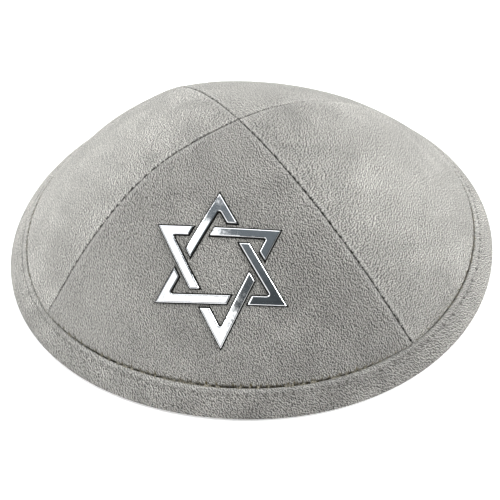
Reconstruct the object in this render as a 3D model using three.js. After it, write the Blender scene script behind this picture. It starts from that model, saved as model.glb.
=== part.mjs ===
// Suede skullcap: four gores sewn to a crown, a folded band round the rim and a six-plate metal star.
// Millimetres, +Z up. The cap lies open side down on the plane z = 0, with its front towards -Y.
// An azimuth is an angle seen from above, from the front (-Y) towards the wearer's left (+X).

import * as THREE from "three";
import { mergeVertices } from "three/addons/utils/BufferGeometryUtils.js";

// Driving dimensions

// Rim, measured over the foot of the band
const RIM_WIDTH = 186;
const RIM_DEPTH = 173.8;
const RIM_TURN = 9.5; // degrees that the oval is turned on the head
const RIM_CORNER = 1.0; // swell of the rim under each seam

// Rim band, a strip folded round the lower edge of the gores
const BAND_HEIGHT = 7.5;
const BAND_LEAN = 7.7; // how far its top edge lies inside its foot
const BAND_BULGE = 1.0;
const BAND_CLOTH = 1.1;
const BAND_LIP = 0.37; // rounding of its turned top edge
const BAND_TOE = 0.7; // rounding of the fold beside the flat that it rests on

// Gores
const CAP_HEIGHT = 54;
const PANEL_CLOTH = 1.5;
const TUCK_REACH = 2.6; // width over which a gore dives under the band
const APEX_RIGHT = -2.1; // lean of the top of the cap, to the right and to the back
const APEX_BACK = 0.3;
const CORNER_SHARE = 0.16; // 0 keeps every level an oval, 1 draws it out to a square at the seams
const CORNER_MEAN = 1.08; // what keeps a level its size while it is drawn out, as a share of its radius
const CORNER_ONSET = 3; // how soon above the band the corners show, a power of the climb

// Emblem
const EMBLEM_RADIUS = 25;
const EMBLEM_AZIMUTH = 2.7;
const EMBLEM_CLIMB = 0.548; // place of its centre between the band, 0, and the top, 1
const BAR_WIDTH = 3.1;
const LONG_LEG_GAP = 1.6; // slits between the ends of a plate and the bars that they stop at
const SHORT_LEG_GAP = 1.2;
const PLATE_THICKNESS = 1.0;
const PLATE_BEVEL = 0.35;

// Gap left between pieces that touch
const CLEARANCE = 0.3;

// Seams: front right, back right, back left and front left. Each runs from the azimuth of its foot to its
// quarter at the top, with a sideways bow on the way.
// low, middle and high say how far its ridge stands out, as shares of the crown's height.
const SEAMS = [
  { quarter: 45, foot: 52.4, bow: 0.8, low: 0.001, middle: 0.009, high: 0.006 },
  { quarter: 135, foot: 134.8, bow: -0.2, low: -0.03, middle: -0.019, high: -0.004 },
  { quarter: 225, foot: 225.1, bow: -0.5, low: 0.009, middle: -0.021, high: 0.017 },
  { quarter: 315, foot: 314.2, bow: 0.4, low: -0.022, middle: 0.015, high: 0.063 },
];

// Gores, each between the seam before it and its own, with the swell of its middle as for a seam.
const PANELS = [
  { name: "front_panel", low: 0, middle: 0, high: 0 },
  { name: "right_panel", low: 0, middle: 0, high: 0 },
  { name: "back_panel", low: -0.002, middle: -0.026, high: -0.003 },
  { name: "left_panel", low: -0.002, middle: 0.005, high: 0 },
];

// Places of low, middle and high on the climb, how far round them a swell is felt, and how sharply it dies
// away at the band and at the top, a power of the climb.
const SWELL_PLACES = { low: 0.25, middle: 0.5, high: 0.75 };
const SWELL_SPREAD = 0.18;
const SWELL_END = 6;

// Tips of the star, counter-clockwise, with reach as a share of the emblem's radius.
const STAR_TIPS = [
  { plate: "star_plate_top", angle: 96, reach: 0.984 },
  { plate: "star_plate_upper_left", angle: 150.7, reach: 0.996 },
  { plate: "star_plate_lower_left", angle: 213.2, reach: 0.968 },
  { plate: "star_plate_bottom", angle: 276.1, reach: 1.059 },
  { plate: "star_plate_lower_right", angle: 335, reach: 1.009 },
  { plate: "star_plate_upper_right", angle: 35.8, reach: 0.927 },
];

// Facets
const COLUMNS = 18; // across each gore
const TUCK_ROWS = 2; // within the tuck
const CROWN_ROWS = 15; // from the tuck to the top
const HEM_MIDDLE = 0.73; // row between the fold and the band's top edge
const BAND_FACE_ROWS = [0.3, 0.55, 0.8, 0.95];
const LONG_LEG_STEPS = 7;
const SHORT_LEG_STEPS = 4;

// Rounds of the two searches that seat a plate on its gore
const SEAT_PASSES = 6;
const SEAT_HALVINGS = 40;

const CROWN_HEIGHT = CAP_HEIGHT - BAND_HEIGHT;
const MEAN_RIM_RADIUS = (RIM_WIDTH + RIM_DEPTH) / 4;
const SLOT_WIDTH = PANEL_CLOTH + 2 * CLEARANCE;
const BAND_DEPTH = SLOT_WIDTH + 2 * BAND_CLOTH;

const radians = THREE.MathUtils.degToRad;

// Plan of the rim and of the band's top edge

function rimRadius(azimuth) {
  const oval = ((RIM_WIDTH - RIM_DEPTH) / 4) * Math.cos(2 * (azimuth - radians(RIM_TURN)));
  const corner = (RIM_CORNER / 2) * (1 - Math.cos(4 * azimuth));
  return MEAN_RIM_RADIUS - oval + corner;
}

function footRadius(azimuth) {
  return rimRadius(azimuth) - BAND_LEAN;
}

function polarPoint(azimuth, radius, height) {
  return new THREE.Vector3(radius * Math.sin(azimuth), -radius * Math.cos(azimuth), height);
}

// Crown: the climb runs from 0 at the band's top edge to 1 at the top of the cap

function reachAt(climb) {
  return Math.cos((climb * Math.PI) / 2);
}

function riseAt(climb) {
  return 1 - reachAt(climb) ** 2;
}

function climbAtReach(reach) {
  return (2 / Math.PI) * Math.acos(Math.min(1, reach));
}

function seamAzimuth(seam, climb) {
  const straight = seam.quarter + (seam.foot - seam.quarter) * (1 - climb);
  return radians(straight + seam.bow * Math.sin(Math.PI * climb));
}

function panelEdges(panel, climb) {
  const before = (panel + SEAMS.length - 1) % SEAMS.length;
  const right = seamAzimuth(SEAMS[panel], climb);
  const left = seamAzimuth(SEAMS[before], climb) - (panel === 0 ? 2 * Math.PI : 0);
  return { left, right };
}

function swellOf(row, climb) {
  let swell = 0;
  for (const [level, place] of Object.entries(SWELL_PLACES)) {
    swell += row[level] * Math.exp(-(((climb - place) / SWELL_SPREAD) ** 2));
  }
  return swell * CROWN_HEIGHT;
}

// Swell of a gore at across, which is -1 on its left seam, 0 in its middle and 1 on its right seam
function crownSwell(panel, across, climb) {
  const before = (panel + SEAMS.length - 1) % SEAMS.length;
  const seam = across < 0 ? SEAMS[before] : SEAMS[panel];
  const share = across * across;
  const blended = swellOf(PANELS[panel], climb) * (1 - share) + swellOf(seam, climb) * share;
  return blended * (1 - (1 - climb) ** SWELL_END) * (1 - climb ** SWELL_END);
}

function crownRadius(across, azimuth, climb) {
  const squareness = 1 / Math.cos((across * Math.PI) / 4) - CORNER_MEAN;
  const corner = 1 + CORNER_SHARE * (1 - (1 - climb) ** CORNER_ONSET) * squareness;
  return footRadius(azimuth) * reachAt(climb) * corner;
}

function crownPoint(panel, across, azimuth, climb) {
  const swell = crownSwell(panel, across, climb);
  const radius = crownRadius(across, azimuth, climb) + swell * reachAt(climb);
  const height = BAND_HEIGHT + CROWN_HEIGHT * riseAt(climb) + swell * Math.sin((climb * Math.PI) / 2);
  const lean = new THREE.Vector3(APEX_RIGHT, APEX_BACK, 0).multiplyScalar(riseAt(climb));
  return polarPoint(azimuth, radius, height).add(lean);
}

function crownNormal(azimuth, climb) {
  const steepness = (2 * CROWN_HEIGHT * reachAt(climb)) / footRadius(azimuth);
  return polarPoint(azimuth, steepness, 1).normalize();
}

// Band: t runs from 0 at the foot to 1 at the top edge, inset is measured into the cloth

function bandPoint(azimuth, t, inset) {
  const radius = rimRadius(azimuth) - BAND_LEAN * t + BAND_BULGE * Math.sin(Math.PI * t);
  const outward = crownNormal(azimuth, 0);
  return polarPoint(azimuth, radius, BAND_HEIGHT * t).addScaledVector(outward, -inset);
}

// The t at which a surface of the band, inset into the cloth, is at the given height
function bandShareAtHeight(azimuth, inset, height) {
  return (height + inset * crownNormal(azimuth, 0).z) / BAND_HEIGHT;
}

function slotFloorShare(azimuth) {
  return bandShareAtHeight(azimuth, BAND_CLOTH + SLOT_WIDTH, BAND_CLOTH);
}

// Closed meshes from rows of points

function solidFromTriangles(corners) {
  const positions = [];
  for (let i = 0; i < corners.length; i += 3) {
    const [a, b, c] = corners.slice(i, i + 3);
    if (a.equals(b) || b.equals(c) || c.equals(a)) {
      continue;
    }
    positions.push(...a.toArray(), ...b.toArray(), ...c.toArray());
  }
  const geometry = new THREE.BufferGeometry();
  geometry.setAttribute("position", new THREE.Float32BufferAttribute(positions, 3));
  const solid = mergeVertices(geometry);
  solid.computeVertexNormals();
  return solid;
}

// Skin between neighbouring rows of points, facing outwards where columns run to the right, rows up
function skin(rows) {
  const corners = [];
  for (let i = 0; i + 1 < rows.length; i += 1) {
    for (let j = 0; j + 1 < rows[i].length; j += 1) {
      const [a, b] = [rows[i][j], rows[i][j + 1]];
      const [c, d] = [rows[i + 1][j + 1], rows[i + 1][j]];
      corners.push(a, b, c, a, c, d);
    }
  }
  return corners;
}

// Gores

function panelColumn(panel, column, climb, radius) {
  const { left, right } = panelEdges(panel, climb);
  const slit = Math.asin(Math.min(1, CLEARANCE / 2 / radius));
  const halfWidth = Math.max(0, (right - left) / 2 - slit);
  const middle = (left + right) / 2;
  const azimuth = middle + halfWidth * ((2 * column) / COLUMNS - 1);
  const across = (2 * (azimuth - left)) / (right - left) - 1;
  return { azimuth, across };
}

function hemShares(azimuth) {
  const slant = Math.hypot(BAND_HEIGHT, BAND_LEAN);
  const hem = slotFloorShare(azimuth) + CLEARANCE / slant;
  return [hem, Math.max(HEM_MIDDLE, (hem + 1) / 2), 1];
}

// The tuck draws a gore in by the band's cloth at the band's top edge, and lets it out above
function tuckInset(climb, azimuth) {
  const drawnIn = footRadius(azimuth) * (1 - reachAt(climb));
  return (BAND_CLOTH + CLEARANCE) * (1 - THREE.MathUtils.smoothstep(drawnIn, 0, TUCK_REACH));
}

function crownReaches() {
  const tuck = TUCK_REACH / (MEAN_RIM_RADIUS - BAND_LEAN);
  const reaches = [];
  for (let row = 1; row <= TUCK_ROWS; row += 1) {
    reaches.push(1 - (tuck * row) / (TUCK_ROWS + 1));
  }
  for (let row = 0; row < CROWN_ROWS; row += 1) {
    reaches.push((1 - tuck) * (1 - row / CROWN_ROWS));
  }
  return reaches;
}

function panelRows(panel, wall) {
  const rows = [];
  for (const hemRow of [0, 1, 2]) {
    const row = [];
    for (let column = 0; column <= COLUMNS; column += 1) {
      const { azimuth } = panelColumn(panel, column, 0, MEAN_RIM_RADIUS - BAND_LEAN);
      row.push(bandPoint(azimuth, hemShares(azimuth)[hemRow], BAND_CLOTH + CLEARANCE + wall));
    }
    rows.push(row);
  }
  for (const reach of crownReaches()) {
    const climb = climbAtReach(reach);
    const row = [];
    for (let column = 0; column <= COLUMNS; column += 1) {
      const radius = reach * (MEAN_RIM_RADIUS - BAND_LEAN);
      const { azimuth, across } = panelColumn(panel, column, climb, radius);
      const inset = tuckInset(climb, azimuth) + wall;
      const point = crownPoint(panel, across, azimuth, climb);
      row.push(point.addScaledVector(crownNormal(azimuth, climb), -inset));
    }
    rows.push(row);
  }
  // The corner at the top of the cap, one clearance from the corner of the gore opposite
  const cornerReach = CLEARANCE / Math.SQRT2 / (MEAN_RIM_RADIUS - BAND_LEAN);
  const climb = climbAtReach(cornerReach);
  const { left, right } = panelEdges(panel, climb);
  const middle = (left + right) / 2;
  const corner = crownPoint(panel, 0, middle, climb).addScaledVector(crownNormal(middle, climb), -wall);
  rows.push(new Array(COLUMNS + 1).fill(corner));
  return rows;
}

function panelGeometry(panel) {
  const outer = panelRows(panel, 0);
  const inner = panelRows(panel, PANEL_CLOTH);
  const innerMirrored = inner.map((row) => [...row].reverse());
  const leftEdge = outer.map((row, i) => [inner[i][0], row[0]]);
  const rightEdge = outer.map((row, i) => [row[COLUMNS], inner[i][COLUMNS]]);
  const hem = [inner[0], outer[0]];
  return solidFromTriangles([
    ...skin(outer),
    ...skin(innerMirrored),
    ...skin(leftEdge),
    ...skin(rightEdge),
    ...skin(hem),
  ]);
}

// Rim band

function bandSection(azimuth) {
  const slotInner = BAND_CLOTH + SLOT_WIDTH;
  const floor = slotFloorShare(azimuth);
  const middle = hemShares(azimuth)[1];
  const toe = bandShareAtHeight(azimuth, 0, BAND_TOE);
  const innerToe = bandShareAtHeight(azimuth, BAND_DEPTH, BAND_TOE);
  const section = [bandPoint(azimuth, toe, 0)];
  for (const t of BAND_FACE_ROWS) {
    section.push(bandPoint(azimuth, t, 0));
  }
  section.push(bandPoint(azimuth, 1, BAND_LIP));
  for (const t of [1, middle, floor]) {
    section.push(bandPoint(azimuth, t, BAND_CLOTH));
  }
  for (const t of [floor, middle, 1]) {
    section.push(bandPoint(azimuth, t, slotInner));
  }
  for (const t of [1, middle, innerToe]) {
    section.push(bandPoint(azimuth, t, BAND_DEPTH));
  }
  const innerFoot = section[section.length - 1];
  const innerFootRadius = Math.hypot(innerFoot.x, innerFoot.y);
  section.push(polarPoint(azimuth, innerFootRadius + BAND_TOE / 2, 0));
  section.push(polarPoint(azimuth, rimRadius(azimuth) - BAND_TOE, 0));
  return section;
}

function bandGeometry() {
  const sections = [];
  for (let panel = 0; panel < PANELS.length; panel += 1) {
    for (let column = 0; column <= COLUMNS; column += 1) {
      const { azimuth } = panelColumn(panel, column, 0, MEAN_RIM_RADIUS - BAND_LEAN);
      sections.push(bandSection(azimuth));
    }
  }
  sections.push(sections[0]);
  const rows = [];
  for (let i = 0; i <= sections[0].length; i += 1) {
    rows.push(sections.map((section) => section[i % section.length]));
  }
  return solidFromTriangles(skin(rows));
}

// Emblem: flat layout in the emblem's own plane, x to the right and y up the gore

const starTips = STAR_TIPS.map(({ angle, reach }) => {
  const radius = reach * EMBLEM_RADIUS;
  return new THREE.Vector2(radius * Math.cos(radians(angle)), radius * Math.sin(radians(angle)));
});

function tipAt(index) {
  return starTips[(index + starTips.length) % starTips.length];
}

// Line of the star's side that faces tip number index, moved towards the star's centre by inset
function starSide(index, inset) {
  const start = tipAt(index - 1);
  const direction = tipAt(index + 1).clone().sub(start).normalize();
  const inwards = new THREE.Vector2(-direction.y, direction.x);
  return { start: start.clone().addScaledVector(inwards, inset), direction };
}

function crossing(first, second) {
  const offset = second.start.clone().sub(first.start);
  const along = offset.cross(second.direction) / first.direction.cross(second.direction);
  return first.start.clone().addScaledVector(first.direction, along);
}

// Cuts across one plate, from the end of its long leg round the tip to the end of its short leg.
// The long leg passes over the first bar that it crosses and stops short of the second.
function plateCuts(index) {
  const longEnd = starSide(index + 2, BAR_WIDTH + LONG_LEG_GAP);
  const shortEnd = starSide(index, -SHORT_LEG_GAP);
  const [longOuter, longInner] = [starSide(index + 1, 0), starSide(index + 1, BAR_WIDTH)];
  const [shortOuter, shortInner] = [starSide(index - 1, 0), starSide(index - 1, BAR_WIDTH)];
  const corners = [
    { outer: crossing(longOuter, longEnd), inner: crossing(longInner, longEnd), steps: LONG_LEG_STEPS },
    { outer: tipAt(index), inner: crossing(longInner, shortInner), steps: SHORT_LEG_STEPS },
    { outer: crossing(shortOuter, shortEnd), inner: crossing(shortInner, shortEnd), steps: 0 },
  ];
  const cuts = [];
  for (let i = 0; i + 1 < corners.length; i += 1) {
    for (let step = 0; step < corners[i].steps; step += 1) {
      const share = step / corners[i].steps;
      const outer = corners[i].outer.clone().lerp(corners[i + 1].outer, share);
      const inner = corners[i].inner.clone().lerp(corners[i + 1].inner, share);
      cuts.push({ outer, inner });
    }
  }
  cuts.push(corners[corners.length - 1]);
  return cuts;
}

// Azimuth, climb and distance outside the front gore of a point near it
function aboveFrontPanel(point) {
  let climb = EMBLEM_CLIMB;
  let azimuth = 0;
  let swell = 0;
  let beyond = 0;
  for (let pass = 0; pass < SEAT_PASSES; pass += 1) {
    const lift = swell * Math.sin((climb * Math.PI) / 2);
    const rise = THREE.MathUtils.clamp((point.z - lift - BAND_HEIGHT) / CROWN_HEIGHT, 0, 1);
    climb = (2 / Math.PI) * Math.asin(Math.sqrt(rise));
    const x = point.x - APEX_RIGHT * rise;
    const y = point.y - APEX_BACK * rise;
    azimuth = Math.atan2(x, -y);
    const { left, right } = panelEdges(0, climb);
    const across = (2 * (azimuth - left)) / (right - left) - 1;
    swell = crownSwell(0, across, climb);
    beyond = Math.hypot(x, y) - crownRadius(across, azimuth, climb) - swell * reachAt(climb);
  }
  return { azimuth, climb, beyond };
}

const emblemFrame = (() => {
  const azimuth = radians(EMBLEM_AZIMUTH);
  const { left, right } = panelEdges(0, EMBLEM_CLIMB);
  const centre = crownPoint(0, (2 * (azimuth - left)) / (right - left) - 1, azimuth, EMBLEM_CLIMB);
  const normal = crownNormal(azimuth, EMBLEM_CLIMB);
  const side = new THREE.Vector3(0, 0, 1).cross(normal).normalize();
  return { centre, normal, side, up: normal.clone().cross(side) };
})();

// Foot of a point of the emblem's plane on the front gore, found by halving along the normal
function seatOnCrown(flat) {
  const { centre, normal, side, up } = emblemFrame;
  const start = centre.clone().addScaledVector(side, flat.x).addScaledVector(up, flat.y);
  let inside = -EMBLEM_RADIUS / 2;
  let outside = EMBLEM_RADIUS / 2;
  for (let halving = 0; halving < SEAT_HALVINGS; halving += 1) {
    const middle = (inside + outside) / 2;
    const probe = start.clone().addScaledVector(normal, middle);
    if (aboveFrontPanel(probe).beyond > 0) {
      outside = middle;
    } else {
      inside = middle;
    }
  }
  const seat = start.addScaledVector(normal, inside);
  const { azimuth, climb } = aboveFrontPanel(seat);
  return { seat, upwards: crownNormal(azimuth, climb) };
}

// Section of a plate at one cut: share across the bar, and height over the suede
function plateSection({ outer, inner }) {
  const bevel = PLATE_BEVEL / BAR_WIDTH;
  const profile = [
    { share: 1, height: 0 },
    { share: 1, height: PLATE_THICKNESS - PLATE_BEVEL },
    { share: 1 - bevel, height: PLATE_THICKNESS },
    { share: bevel, height: PLATE_THICKNESS },
    { share: 0, height: PLATE_THICKNESS - PLATE_BEVEL },
    { share: 0, height: 0 },
  ];
  return profile.map(({ share, height }) => {
    const { seat, upwards } = seatOnCrown(outer.clone().lerp(inner, share));
    return seat.addScaledVector(upwards, CLEARANCE + height);
  });
}

function plateGeometry(index) {
  const sections = plateCuts(index).map(plateSection);
  const rows = [];
  for (let i = 0; i <= sections[0].length; i += 1) {
    rows.push(sections.map((section) => section[i % section.length]));
  }
  const corners = skin(rows);
  const [first, last] = [sections[0], sections[sections.length - 1]];
  for (let i = 1; i + 1 < first.length; i += 1) {
    corners.push(first[0], first[i], first[i + 1]);
    corners.push(last[0], last[i + 1], last[i]);
  }
  return solidFromTriangles(corners);
}

// Assembly

const suede = { color: 0xb3b0a9, roughness: 0.95, metalness: 0 };
const bandSuede = { color: 0x9c9992, roughness: 0.95, metalness: 0 };
const polishedSteel = { color: 0xdfe3e6, roughness: 0.08, metalness: 1 };

function piece(name, geometry, finish) {
  const mesh = new THREE.Mesh(geometry, new THREE.MeshStandardMaterial(finish));
  mesh.name = name;
  return mesh;
}

const skullcap = new THREE.Group();
skullcap.name = "skullcap";

const crown = new THREE.Group();
PANELS.forEach(({ name }, panel) => {
  crown.add(piece(name, panelGeometry(panel), suede));
});
skullcap.add(crown);

skullcap.add(piece("rim_band", bandGeometry(), bandSuede));

const emblem = new THREE.Group();
STAR_TIPS.forEach(({ plate }, index) => {
  emblem.add(piece(plate, plateGeometry(index), polishedSteel));
});
skullcap.add(emblem);

export default skullcap;
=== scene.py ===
# Grey suede skullcap with a polished star, lying open side down on a white table.
# Metres, +Z up. Its front faces -Y. An azimuth turns from the front towards +X.

import math

import bmesh
import bpy
import numpy as np
from mathutils import Matrix, Vector, noise


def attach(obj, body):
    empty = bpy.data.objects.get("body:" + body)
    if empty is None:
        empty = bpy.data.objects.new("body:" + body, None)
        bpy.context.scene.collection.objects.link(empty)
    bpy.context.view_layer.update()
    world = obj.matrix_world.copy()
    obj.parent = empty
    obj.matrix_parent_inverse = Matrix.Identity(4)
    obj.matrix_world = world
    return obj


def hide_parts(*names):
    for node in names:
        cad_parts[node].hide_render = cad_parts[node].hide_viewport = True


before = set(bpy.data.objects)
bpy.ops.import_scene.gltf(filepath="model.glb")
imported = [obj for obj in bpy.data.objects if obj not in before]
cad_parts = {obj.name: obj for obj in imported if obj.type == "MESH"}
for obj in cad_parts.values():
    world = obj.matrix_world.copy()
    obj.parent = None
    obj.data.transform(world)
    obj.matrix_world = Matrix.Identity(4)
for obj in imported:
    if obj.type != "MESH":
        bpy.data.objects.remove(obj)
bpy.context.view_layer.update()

# Camera
# A close view from the front, a little towards +X and well above the cap, with the camera held slightly
# askew.

CAMERA_AZIMUTH = math.radians(13.555)
CAMERA_ELEVATION = math.radians(46.629)
CAMERA_ROLL = math.radians(-3.208)
CAMERA_DISTANCE = 0.300
CAMERA_AIM = Vector((0.006395, -0.028898, 0.020))
CAMERA_LENS_MM = 61.62

camera_back = Vector(
    (
        math.sin(CAMERA_AZIMUTH) * math.cos(CAMERA_ELEVATION),
        -math.cos(CAMERA_AZIMUTH) * math.cos(CAMERA_ELEVATION),
        math.sin(CAMERA_ELEVATION),
    )
)
camera_right = Vector((math.cos(CAMERA_AZIMUTH), math.sin(CAMERA_AZIMUTH), 0))
camera_axes = Matrix((camera_right, camera_back.cross(camera_right), camera_back)).transposed()
camera_data = bpy.data.cameras.new("camera")
camera_data.lens = CAMERA_LENS_MM
camera_data.clip_start = 0.01
camera = bpy.data.objects.new("camera", camera_data)
bpy.context.collection.objects.link(camera)
camera_turn = camera_axes @ Matrix.Rotation(CAMERA_ROLL, 3, "Z")
camera.matrix_world = Matrix.Translation(CAMERA_AIM + CAMERA_DISTANCE * camera_back) @ camera_turn.to_4x4()
bpy.context.scene.camera = camera

# Gores
# Four pieces of soft grey suede that meet in a point at the top. They are sewn edge to edge with the edges
# turned in, so each seam is a fine crease outside and a pressed ridge inside. The rim band holds their hems.

RIM_WIDTH = 0.186
RIM_DEPTH = 0.1738
RIM_TURN = math.radians(9.5)
RIM_CORNER = 0.001
BAND_HEIGHT = 0.0075
BAND_LEAN = 0.0077
BAND_BULGE = 0.001
BAND_CLOTH = 0.0011
CROWN_HEIGHT = 0.0465
APEX_SHIFT = (-0.0021, 0.0003)
SQUARENESS = 0.16
SQUARE_MEAN = 1.08
SWELL_PLACES = (0.25, 0.5, 0.75)
SWELL_SPREAD = 0.18

GORE_CLOTH = 0.0015
GORE_CLEARANCE = 0.0003
TUCK_REACH = 0.0014
SEAM_ROLL = 0.0008
SEAM_GAP = 0.00008
SEAM_ALLOWANCE = 0.0042
ALLOWANCE_EDGE = 0.001
ALLOWANCE_RISE = 0.0006
ALLOWANCE_START = (0.002, 0.006)
HEM_SHARES = (0.46, 0.6, 0.75, 0.9)
SAG_DEPTH = 0.00045
SAG_SIZE = 0.032
SAG_FROM_SEAM = (0.001, 0.016)
SAG_FROM_BAND = (0.001, 0.014)
SAG_FROM_EMBLEM = 0.01
EMBLEM_AZIMUTH = math.radians(2.7)
EMBLEM_CLIMB = 0.548
EMBLEM_REACH = 0.027
MERGE_DISTANCE = 1e-7
CLOTH_SHARP = math.radians(60)
STEEL_SHARP = math.radians(12)

# Each seam, after the gore of the same place in the list, runs from its foot to its quarter at the top,
# with a bow on the way and swells at the places above. Its crease is drawn shut by a share at the foot, and
# opens between two shares of the way up. The nap covers a share of it.
SEAM_FIELDS = ("quarter", "foot", "bow", "swell", "shut", "opens", "cover")
SEAM_ROWS = (
    (45, 52.4, 0.8, (0.001, 0.009, 0.006), 0.0, (0.0, 0.1), 0.0),
    (135, 134.8, -0.2, (-0.03, -0.019, -0.004), 1.0, (0.74, 0.95), 0.2),
    (225, 225.1, -0.5, (0.009, -0.021, 0.017), 0.7, (0.3, 0.8), 0.5),
    (315, 314.2, 0.4, (-0.022, 0.015, 0.063), 0.5, (0.03, 0.22), 0.22),
)
SEAMS = [dict(zip(SEAM_FIELDS, row)) for row in SEAM_ROWS]
# The lay is the way that the nap was brushed. A tuft of it has a length and a width. The shade makes one
# gore lighter than another. The lean is how fast the shade grows by the metre along each axis. The rubs are
# places painted lighter or darker: a middle in the cloth, to the right of the gore's middle line and up from
# the band, a reach, and how much lighter it looks. The shade, the lean and the rubs are partly the nap and
# partly painted light and shade.
GORES = (
    {
        "name": "front_gore",
        "node": "front_panel",
        "lay": 65,
        "tuft": (0.00056, 0.00046),
        "shade": 0.66,
        "lean": (-2.6, 0.0, 0.0),
        "rubs": (
            (-0.052, 0.02, 0.034, 0.12),
            (0.042, 0.004, 0.024, -0.2),
            (0.0, 0.07, 0.024, -0.08),
            (-0.027, 0.065, 0.018, -0.15),
            (-0.032, 0.04, 0.014, 0.08),
            (-0.022, 0.008, 0.022, -0.1),
            (0.03, 0.024, 0.02, -0.09),
            (0.055, 0.018, 0.014, 0.1),
        ),
    },
    {
        "name": "right_gore",
        "node": "right_panel",
        "lay": -22,
        "tuft": (0.00058, 0.00056),
        "shade": 0.905,
        "lean": (0.0, 4.4, -1.0),
        "rubs": (
            (-0.016, 0.044, 0.028, 0.13),
            (-0.03, 0.068, 0.022, -0.22),
            (0.016, 0.078, 0.016, -0.1),
            (-0.01, 0.022, 0.016, 0.07),
            (-0.012, 0.07, 0.01, 0.08),
            (-0.026, 0.039, 0.015, 0.1),
            (0.0, 0.079, 0.03, -0.18),
            (0.004, 0.085, 0.014, -0.1),
            (-0.046, 0.012, 0.036, -0.19),
            (0.044, 0.014, 0.026, -0.24),
        ),
    },
    {
        "name": "back_gore",
        "node": "back_panel",
        "lay": 20,
        "tuft": (0.00058, 0.00056),
        "shade": 0.815,
        "lean": (1.0, 0.0, 0.0),
        "rubs": (
            (0.012, 0.05, 0.03, 0.07),
            (-0.03, 0.025, 0.024, -0.06),
        ),
    },
    {
        "name": "left_gore",
        "node": "left_panel",
        "lay": 20,
        "tuft": (0.00062, 0.00054),
        "shade": 1.21,
        "lean": (0.0, 0.0, -3.5),
        "rubs": (
            (0.018, 0.045, 0.026, 0.09),
            (0.008, 0.084, 0.03, -0.24),
            (0.034, 0.06, 0.02, -0.32),
            (0.004, 0.064, 0.016, 0.12),
            (-0.03, 0.058, 0.02, -0.09),
            (0.01, 0.002, 0.02, 0.16),
            (0.042, 0.014, 0.022, -0.16),
        ),
    },
)
GORE_SWELLS = ((0, 0, 0), (0, 0, 0), (-0.002, -0.026, -0.003), (-0.002, 0.005, 0))


def smooth(value, start, end):
    share = np.clip((value - start) / (end - start), 0, 1)
    return share * share * (3 - 2 * share)


def polar(azimuth, radius, height):
    height = height + np.zeros(np.shape(azimuth))
    return np.stack([radius * np.sin(azimuth), -radius * np.cos(azimuth), height], axis=-1)


def rim_radius(azimuth):
    oval = (RIM_WIDTH - RIM_DEPTH) / 4 * np.cos(2 * (azimuth - RIM_TURN))
    return (RIM_WIDTH + RIM_DEPTH) / 4 - oval + RIM_CORNER / 2 * (1 - np.cos(4 * azimuth))


def foot_radius(azimuth):
    return rim_radius(azimuth) - BAND_LEAN


def seam_azimuth(seam, climb):
    straight = seam["quarter"] + (seam["foot"] - seam["quarter"]) * (1 - climb)
    return np.radians(straight + seam["bow"] * np.sin(np.pi * climb))


def gore_edges(gore, climb):
    left = seam_azimuth(SEAMS[gore - 1], climb) - (2 * math.pi if gore == 0 else 0)
    return left, seam_azimuth(SEAMS[gore], climb)


def swell_along(shares, climb):
    bumps = [
        share * np.exp(-(((climb - place) / SWELL_SPREAD) ** 2)) for share, place in zip(shares, SWELL_PLACES)
    ]
    return CROWN_HEIGHT * sum(bumps)


def crown_point(gore, azimuth, climb):
    """The smooth outer form of a gore. The climb runs from 0 at the band to 1 at the top of the cap."""
    left, right = gore_edges(gore, climb)
    across = 2 * (azimuth - left) / (right - left) - 1
    left_swell = swell_along(SEAMS[gore - 1]["swell"], climb)
    seam_swell = np.where(across < 0, left_swell, swell_along(SEAMS[gore]["swell"], climb))
    middle_swell = swell_along(GORE_SWELLS[gore], climb)
    swell = middle_swell + (seam_swell - middle_swell) * across**2
    swell = swell * (1 - (1 - climb) ** 6) * (1 - climb**6)
    reach = np.cos(climb * np.pi / 2)
    square = 1 / np.cos(across * np.pi / 4) - SQUARE_MEAN
    radius = foot_radius(azimuth) * reach * (1 + SQUARENESS * (1 - (1 - climb) ** 3) * square)
    rise = 1 - reach**2
    height = BAND_HEIGHT + CROWN_HEIGHT * rise + swell * np.sin(climb * np.pi / 2)
    lean = np.stack([APEX_SHIFT[0] * rise, APEX_SHIFT[1] * rise, 0 * rise], axis=-1)
    return polar(azimuth, radius + swell * reach, height) + lean


def crown_normal(azimuth, climb):
    steepness = 2 * CROWN_HEIGHT * np.cos(climb * np.pi / 2) / foot_radius(azimuth)
    normal = polar(azimuth, steepness, 1.0)
    return normal / np.linalg.norm(normal, axis=-1, keepdims=True)


def band_point(azimuth, share, inset):
    """A point on the band's outer face, share of the way up it, or inset into the cloth."""
    radius = rim_radius(azimuth) - BAND_LEAN * share + BAND_BULGE * np.sin(np.pi * share)
    return polar(azimuth, radius, BAND_HEIGHT * share) - crown_normal(azimuth, 0) * inset


def seam_opening(seam, way_up):
    return 1 - seam["shut"] * (1 - smooth(way_up, *seam["opens"]))


# Distances from a seam, and up from the band, are closest together where the cloth turns sharply.
EDGE_STEPS = 0.001 * np.array(
    [0.04, 0.09, 0.16, 0.26, 0.4, 0.58, 0.8, 1.1, 1.5, 2.0, 2.7, 3.5, 4.2, 4.7, 5.3, 6.1]
)
MIDDLE_STEPS = 34
EDGE_ROOM = 0.014
TUCK_STEPS = 0.001 * np.array([0, 0.12, 0.27, 0.45, 0.65, 0.9, 1.2, 1.5, 1.9, 2.4])
CROWN_STEPS = 96
MERIDIAN = 0.124  # slant length of a gore for one unit of reach beside the band
SEAM_LENGTH = 0.1


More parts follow.
